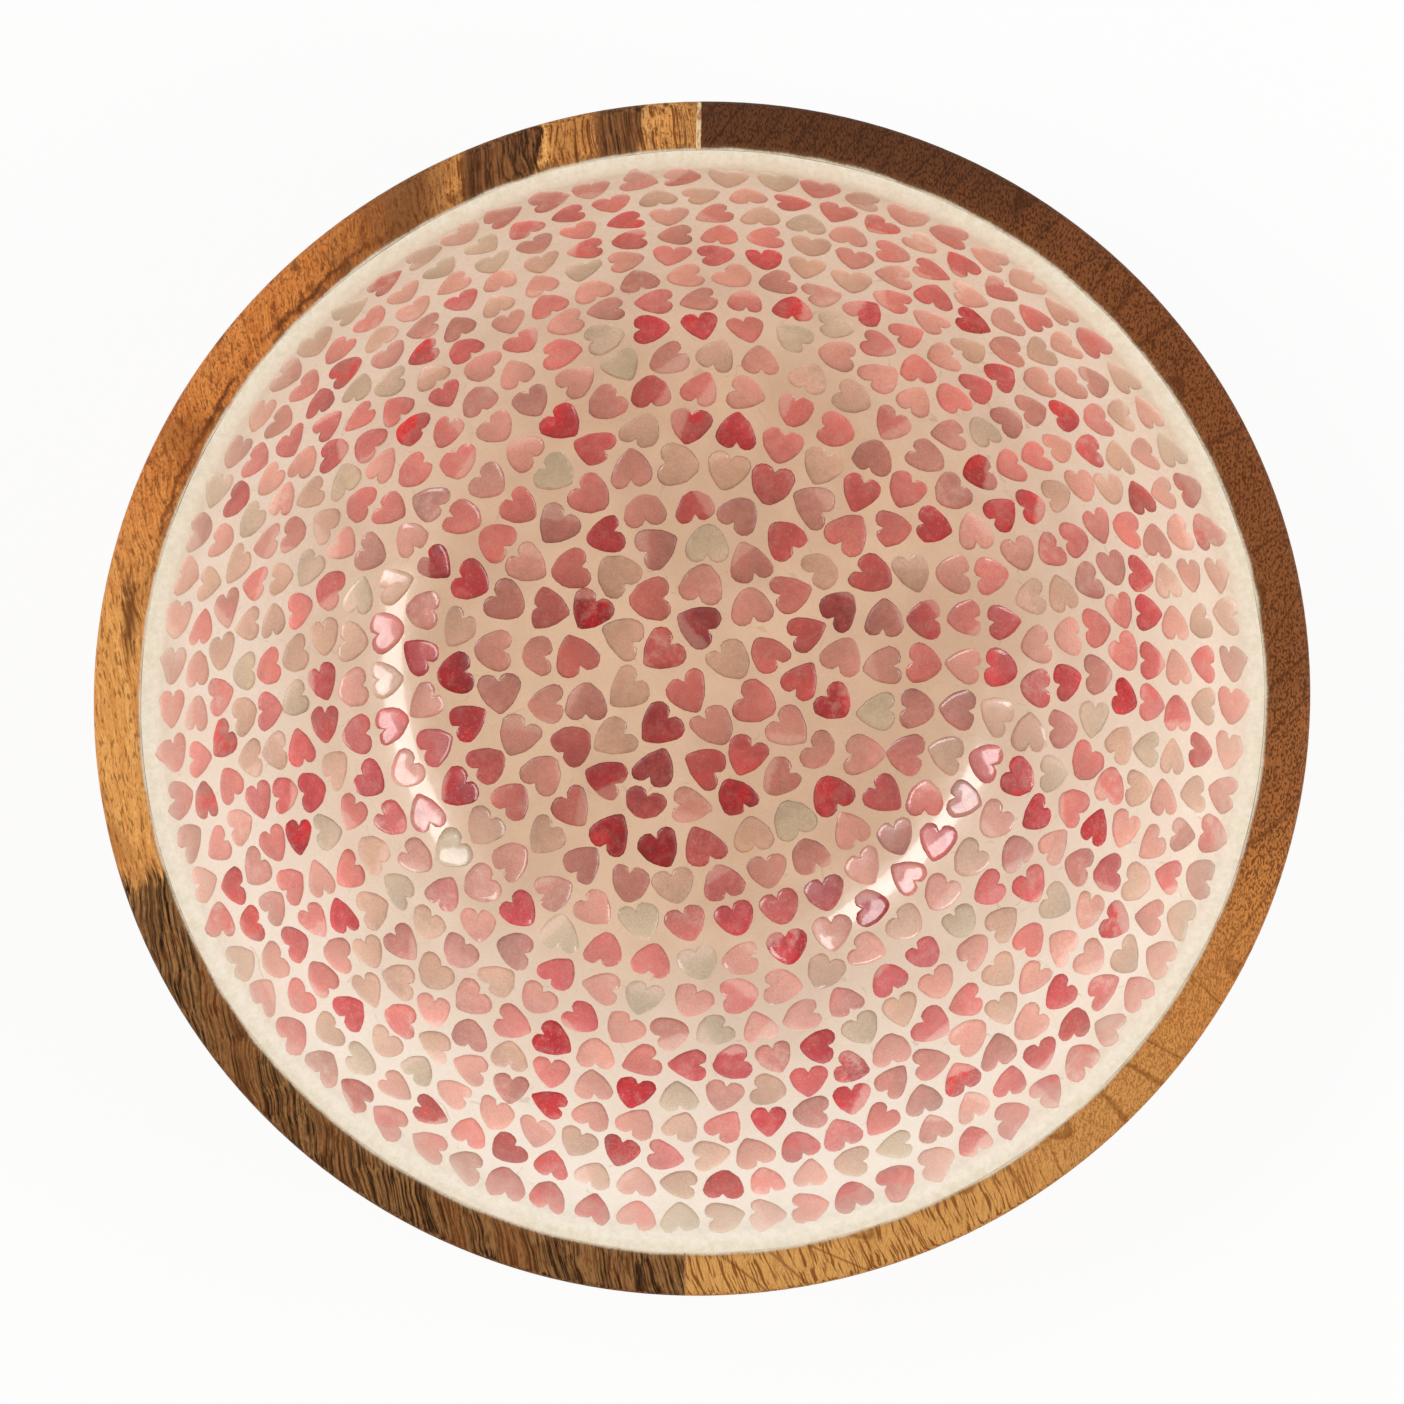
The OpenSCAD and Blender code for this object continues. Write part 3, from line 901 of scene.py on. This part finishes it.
def heartEdge(cut):
    def half(side, scale):
        lobe = cut["lobe"] * scale
        reach = (0.5 - cut["lobe"]) * scale
        points = []
        for turn in (124, 96, 66, 36, 6, -24):
            a = math.radians(turn)
            points.append((reach + lobe * math.cos(a), cut["high"] + lobe * math.sin(a)))
        startX, startY = points[-1]
        tipY = cut["tip"] + 0.22 * cut["blunt"]
        along = Vector((cut["blunt"] - startX, tipY - startY))
        out = Vector((-along.y, along.x)).normalized()
        for share in (0.27, 0.54, 0.8):
            p = Vector((startX, startY)) + along * share + out * cut["bulge"] * math.sin(math.pi * share)
            points.append((p.x, p.y))
        points.append((cut["blunt"], tipY))
        return [(side * x, y) for x, y in points]
    edge = [(0, cut["notch"])] + half(1, cut["right"]) + [(0, cut["tip"])] + half(-1, cut["left"])[::-1]
    return [((x + cut["lean"] * (y - 0.1)) * cut["wide"], y * cut["tall"]) for x, y in edge]


def cutHeart(name, changes, chance):
    edge = heartEdge({**plainHeart, **changes})
    dropSelection()
    bpy.ops.mesh.primitive_circle_add(vertices=len(edge), radius=tile["width"] / 2, fill_type="NGON")
    heart = bpy.context.object
    heart.name = heart.data.name = name
    # push the round blank's corners out to the heart's edge
    corners = sorted(heart.data.vertices, key=lambda v: math.atan2(v.co.x, v.co.y) % (2 * math.pi - 1e-4))
    stray = tile["jitter"]
    for corner, (x, y) in zip(corners, edge):
        corner.co = Vector((x + chance.uniform(-stray, stray), y + chance.uniform(-stray, stray), 0)) * tile["width"]
    startEdit()
    wall = tile["thick"] - tile["shoulder"][1] - tile["verge"][1]
    bpy.ops.mesh.extrude_region_move(TRANSFORM_OT_translate={"value": (0, 0, wall)})
    for share, rise in (tile["shoulder"], tile["verge"]):
        bpy.ops.mesh.extrude_region_move(TRANSFORM_OT_translate={"value": (0, 0, rise)})
        bpy.ops.transform.resize(value=(share, share, 1), center_override=(0, 0, 0))
    endEdit()
    bpy.ops.object.shade_smooth()
    # how near the edge each corner is, for the painted shade at the shell's rim and its thinner lacquer
    for layer in ("tileShadeRim", "tileEdge"):
        heart.data.attributes.new(layer, "FLOAT", "POINT")
    rim, brink = heart.data.attributes["tileShadeRim"], heart.data.attributes["tileEdge"]
    for corner in heart.data.vertices:
        high = corner.co.z - wall - 0.001 * mm
        level = 0 if high < 0 else 1 if high < tile["shoulder"][1] else 2
        rim.data[corner.index].value, brink.data[corner.index].value = tile["edges"][level]
    return heart


def tileSpots(node):  # where each tile of a node sits: its middle, the way its lobes point, its face and its width
    pickOnly(node)
    bpy.ops.object.duplicate()
    startEdit()
    bpy.ops.mesh.remove_doubles(threshold=0.004 * mm)
    bpy.ops.mesh.separate(type="LOOSE")
    bpy.ops.object.mode_set(mode="OBJECT")
    aboveBowl = Vector((0, 0, 250 * mm))
    spots = []
    for part in list(bpy.context.selected_objects):
        mesh = part.data
        face = max(mesh.polygons, key=lambda p: p.area).normal.copy()
        corners = [v.co.copy() for v in mesh.vertices]
        if face.dot(aboveBowl - sum(corners, Vector()) / len(corners)) < 0:
            face = -face
        top = [p for p in mesh.polygons if p.normal.dot(face) > 0.99]
        centre = sum((p.center * p.area for p in top), Vector()) / sum(p.area for p in top)
        edge = [corners[i] for p in top for i in p.vertices]
        notch = min(edge, key=lambda c: (c - centre).length)
        up = notch - centre
        up = (up - face * up.dot(face)).normalized()
        side = up.cross(face)
        acrossSide = [(c - centre).dot(side) for c in edge]
        acrossUp = [(c - centre).dot(up) for c in edge]
        middle = centre + up * (max(acrossUp) + min(acrossUp)) / 2 + side * (max(acrossSide) + min(acrossSide)) / 2
        spots.append({"middle": middle, "up": up, "side": side, "face": face,
                      "width": max(acrossSide) - min(acrossSide)})
    bpy.ops.object.delete()
    return sorted(spots, key=lambda s: (round(s["middle"].z, 6), round(s["middle"].x, 6)))


def layTile(heart, spot, chance, zone):
    mesh = heart.data.copy()
    size = tile["grow"][zone] * spot["width"] / tile["width"]
    topCourse = spot["middle"].z > tile["topCourse"]
    place = Matrix((spot["side"] * size, spot["up"] * size, spot["face"])).transposed().to_4x4()
    place.translation = spot["middle"] - spot["face"] * tile["thick"]
    twist = Matrix.Rotation(chance.uniform(-1, 1) * tile["twist"], 4, "Z")
    # each tile carries its own tones, a place in the pattern, and a line where its colour may split
    tones = [chance.random() for axis in range(3)]
    start = Vector([chance.uniform(-50, 50) for axis in range(3)])
    way = chance.uniform(0, 2 * math.pi)
    splitAt = chance.uniform(*tile["splitAt"]) if chance.random() < tile["splitChance"] else tile["noSplit"]
    crackle = chance.random()
    for layer in ("tileTone", "tilePlace", "tileSplit"):
        mesh.attributes.new(layer, "FLOAT_VECTOR", "POINT")
    rim, tone, pattern, split = (mesh.attributes[layer].data
                                 for layer in ("tileShadeRim", "tileTone", "tilePlace", "tileSplit"))
    # tiles of the top course are broken off ragged on their uphill side
    uphill = Vector((spot["side"].z, spot["up"].z, 0)).normalized()
    mean, uneven = tile["raggedBy"]
    for corner in mesh.vertices:
        p = corner.co / tile["width"]
        above = p.dot(uphill)
        if topCourse and above > tile["raggedFrom"]:
            reach = mean + uneven * noise.noise(Vector((p.x * 2.6, p.y * 2.6, start.x)))
            corner.co += uphill * ((above - tile["raggedFrom"]) * reach) * tile["width"]
        rim[corner.index].value *= 0.25 + 0.75 * min(max(0.5 - 1.6 * above, 0), 1)  # painted shade, stronger on the downhill side of each tile
        tone[corner.index].vector = tones
        pattern[corner.index].vector = start + p
        split[corner.index].vector = (p.x * math.cos(way) + p.y * math.sin(way), splitAt, crackle)
    mesh.transform(place @ twist)
    copy = bpy.data.objects.new("tile", mesh)
    bpy.context.scene.collection.objects.link(copy)
    return copy


# shell finish: one figure for all shades, by heart widths
def makeShellFigure():
    tree, given, out = newGroup(
        "shellFigure", {"Place": "Vector", "Across": "Float", "Split": "Float", "Rim": "Float"},
        ["Cloud", "Patch", "Fleck", "Nacre", "Rim", "Crackle", "Wash", "Grain", "Height"])
    place = given["Place"]
    mottle = cloud(tree, place, 4.2, 4.0, 0.62)
    uneven = minus(tree, mottle, 0.5)
    torn = shift(tree, place, stretch(tree, cloud(tree, place, 6.0, output="Color"), 0.25))
    past = minus(tree, given["Across"], given["Split"])
    fill(tree, out, {
        "Cloud": ease(tree, mottle, 0.3, 0.7),
        "Patch": ease(tree, cloud(tree, place, 1.7, 1.5), 0.5, 0.62),
        "Fleck": ease(tree, cloud(tree, place, 15.0, 2.0, 0.6), 0.58, 0.7),
        "Nacre": ease(tree, plusSome(tree, past, uneven, 0.3), -0.05, 0.07),
        # Rim: where the painted shade lies at each tile's edge
        "Rim": ease(tree, plusSome(tree, given["Rim"], uneven, 0.4), 0.05, 1.05),
        "Crackle": fade(tree, cellEdge(tree, torn, 5.0), 0.0, 0.16),
        "Wash": ease(tree, cloud(tree, place, (-2.8, 2.8, 2.8), 4.0, 0.7), 0.44, 0.7),
        "Grain": minus(tree, cloud(tree, place, 24.0, 2.0, 0.7), 0.5),
        "Height": plusSome(tree, cloud(tree, place, 1.3, 1.0), mottle, 0.12)})
    return tree


shellFigure = makeShellFigure()

# each shade's floor tint is painted shade for the tiles on the bowl's floor
shellLook = {
    "crimson": {"main": srgb(208, 52, 62), "other": srgb(192, 42, 54), "deep": srgb(132, 22, 36),
                "bright": srgb(226, 34, 48), "patchy": 0.9, "floor": (0.56, 0.44, 0.4, 1)},
    "ruby": {"main": srgb(218, 84, 90), "other": srgb(206, 68, 78), "deep": srgb(168, 46, 58),
             "bright": srgb(230, 54, 66), "patchy": 0.75, "floor": (0.6, 0.48, 0.42, 1)},
    "rose": {"main": srgb(226, 120, 116), "other": srgb(218, 108, 108), "deep": srgb(186, 82, 84),
             "bright": srgb(234, 100, 104), "patchy": 0.6, "floor": (0.6, 0.48, 0.42, 1)},
    "coral": {"main": srgb(238, 151, 140), "other": srgb(232, 139, 131), "deep": srgb(206, 114, 108),
              "bright": srgb(243, 140, 134), "patchy": 0.5, "floor": (0.61, 0.49, 0.43, 1)},
    "mauve": {"main": srgb(214, 154, 140), "other": srgb(205, 143, 131), "deep": srgb(182, 120, 109),
              "bright": srgb(224, 146, 138), "patchy": 0.5, "floor": (0.64, 0.53, 0.47, 1)},
    "blush": {"main": srgb(237, 182, 164), "other": srgb(232, 170, 154), "deep": srgb(211, 150, 134),
              "bright": srgb(241, 169, 157), "patchy": 0.5, "floor": (0.66, 0.55, 0.49, 1)},
    "sand": {"main": srgb(227, 195, 171), "other": srgb(217, 183, 157), "deep": srgb(197, 163, 139),
             "bright": srgb(232, 186, 168), "patchy": 0.4, "floor": (0.72, 0.63, 0.55, 1)},
    "pearl": {"main": srgb(220, 205, 178), "other": srgb(212, 198, 171), "deep": srgb(193, 178, 151),
              "bright": srgb(224, 204, 184), "patchy": 0.35, "floor": (0.74, 0.68, 0.61, 1)},
}
# what all shades share, with radii in mm
shellWear = {
    "pale": srgb(244, 218, 204),
    # tint of the painted shade at each tile's edge
    "edgeShade": (0.57, 0.41, 0.38, 1),
    "floorShadeTo": (30.0, 104.0),
    "rubbedFrom": (112.0, 119.5),
    "dustedFrom": (92.0, 108.0),
    "coat": 0.65,
    "coatRough": 0.06,
}


def makeShell(shade, look):
    material, tree, shader = newMaterial("shell_" + shade)
    def carried(layer):
        return put(tree, "ShaderNodeAttribute", attribute_name=layer).outputs
    split = axes(tree, carried("tileSplit")["Vector"])
    tone = axes(tree, carried("tileTone")["Vector"])
    figure = useGroup(tree, shellFigure, {"Place": carried("tilePlace")["Vector"], "Across": split["X"],
                                          "Split": split["Y"], "Rim": carried("tileShadeRim")["Fac"]})
    place = placeInMm(tree)
    radius = flatRadius(tree, place)
    risen = ease(tree, radius, *shellWear["floorShadeTo"])
    pale = shellWear["pale"]
    color = blendColor(tree, tone["X"], look["main"], look["other"])
    color = paint(tree, color, pale, ease(tree, tone["X"], 0.5, 1.0), 0.2)
    color = paint(tree, color, look["deep"], figure["Cloud"], minus(tree, 0.56, times(tree, risen, 0.24)))
    patchy = times(tree, ease(tree, tone["Z"], 0.25, 0.6), look["patchy"])
    color = paint(tree, color, look["bright"], figure["Patch"], patchy)
    color = paint(tree, color, pale, figure["Nacre"], 0.42)
    washed = plus(tree, times(tree, ease(tree, tone["Z"], 0.8, 0.95), 0.35), 0.15)
    color = paint(tree, color, pale, figure["Wash"], washed)
    color = paint(tree, color, pale, figure["Fleck"], 0.22)
    crackle = times(tree, figure["Crackle"], ease(tree, split["Z"], 0.9, 0.98))
    color = paint(tree, color, pale, crackle, 0.12)
    # painted shade darkens the tiles on the floor of the bowl
    color = blendColor(tree, risen, tinted(tree, color, look["floor"]), color)
    # some tiles are lighter, each is lighter to one side, and all have painted shade at the edge, stronger downhill
    lighter = plusSome(tree, spread(tree, tone["Y"], 0.0, 1.0, 0.88, 1.08), split["X"], 0.26)
    color = tinted(tree, color, plusSome(tree, lighter, figure["Grain"], 0.6))
    color = blendColor(tree, figure["Rim"], color, tinted(tree, color, shellWear["edgeShade"]))
    # cream was rubbed over the top course, and a little over the courses below
    ragged = plusSome(tree, radius, cloud(tree, place, 0.17, 4.0, 0.62), 15.0)
    rubbed = times(tree, ease(tree, ragged, *shellWear["rubbedFrom"]), 0.3)
    rubbed = plusSome(tree, rubbed, ease(tree, radius, *shellWear["dustedFrom"]), 0.16)
    color = blendColor(tree, rubbed, color, creamRun["color"])
    # the lacquer pools on the face and is thin over the edge
    brink = carried("tileEdge")["Fac"]
    rough = plus(tree, times(tree, figure["Cloud"], 0.14), times(tree, brink, 0.4))
    coat = minus(tree, 1.0, times(tree, brink, 1.3))
    fill(tree, shader, {
        "Base Color": color,
        "Roughness": plus(tree, rough, 0.24),
        "Coat Weight": calc(tree, "MULTIPLY", coat, shellWear["coat"], clamp=True),
        "Coat Roughness": shellWear["coatRough"],
        "Normal": bumped(tree, figure["Height"], 0.5, 0.35 * mm)})
    return material


def makeTiles():
    chance = random.Random(tile["seed"])
    hearts = [cutHeart(name, cut, chance) for name, cut in heartCuts.items()]
    weights = [cut["weight"] for cut in heartCuts.values()]
    shells = {shade: makeShell(shade, look) for shade, look in shellLook.items()}
    count = 0
    for nodeName in sorted(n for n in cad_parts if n.startswith("hearts_")):
        shade, zone = nodeName.split("_")[1:]
        spots = tileSpots(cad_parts[nodeName])
        copies = [layTile(chance.choices(hearts, weights)[0], spot, chance, zone) for spot in spots]
        dropSelection()
        for copy in copies:
            copy.select_set(True)
        bpy.context.view_layer.objects.active = copies[0]
        bpy.ops.object.join()
        piece = bpy.context.object
        piece.name = piece.data.name = "tiles_" + shade + "_" + zone
        giveMaterial(piece, shells[shade])
        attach(piece, "root")
        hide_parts(nodeName)
        count += len(copies)
    for heart in hearts:
        bpy.data.objects.remove(heart)
    print(count, "tiles laid")


makeTiles()

dropSelection()
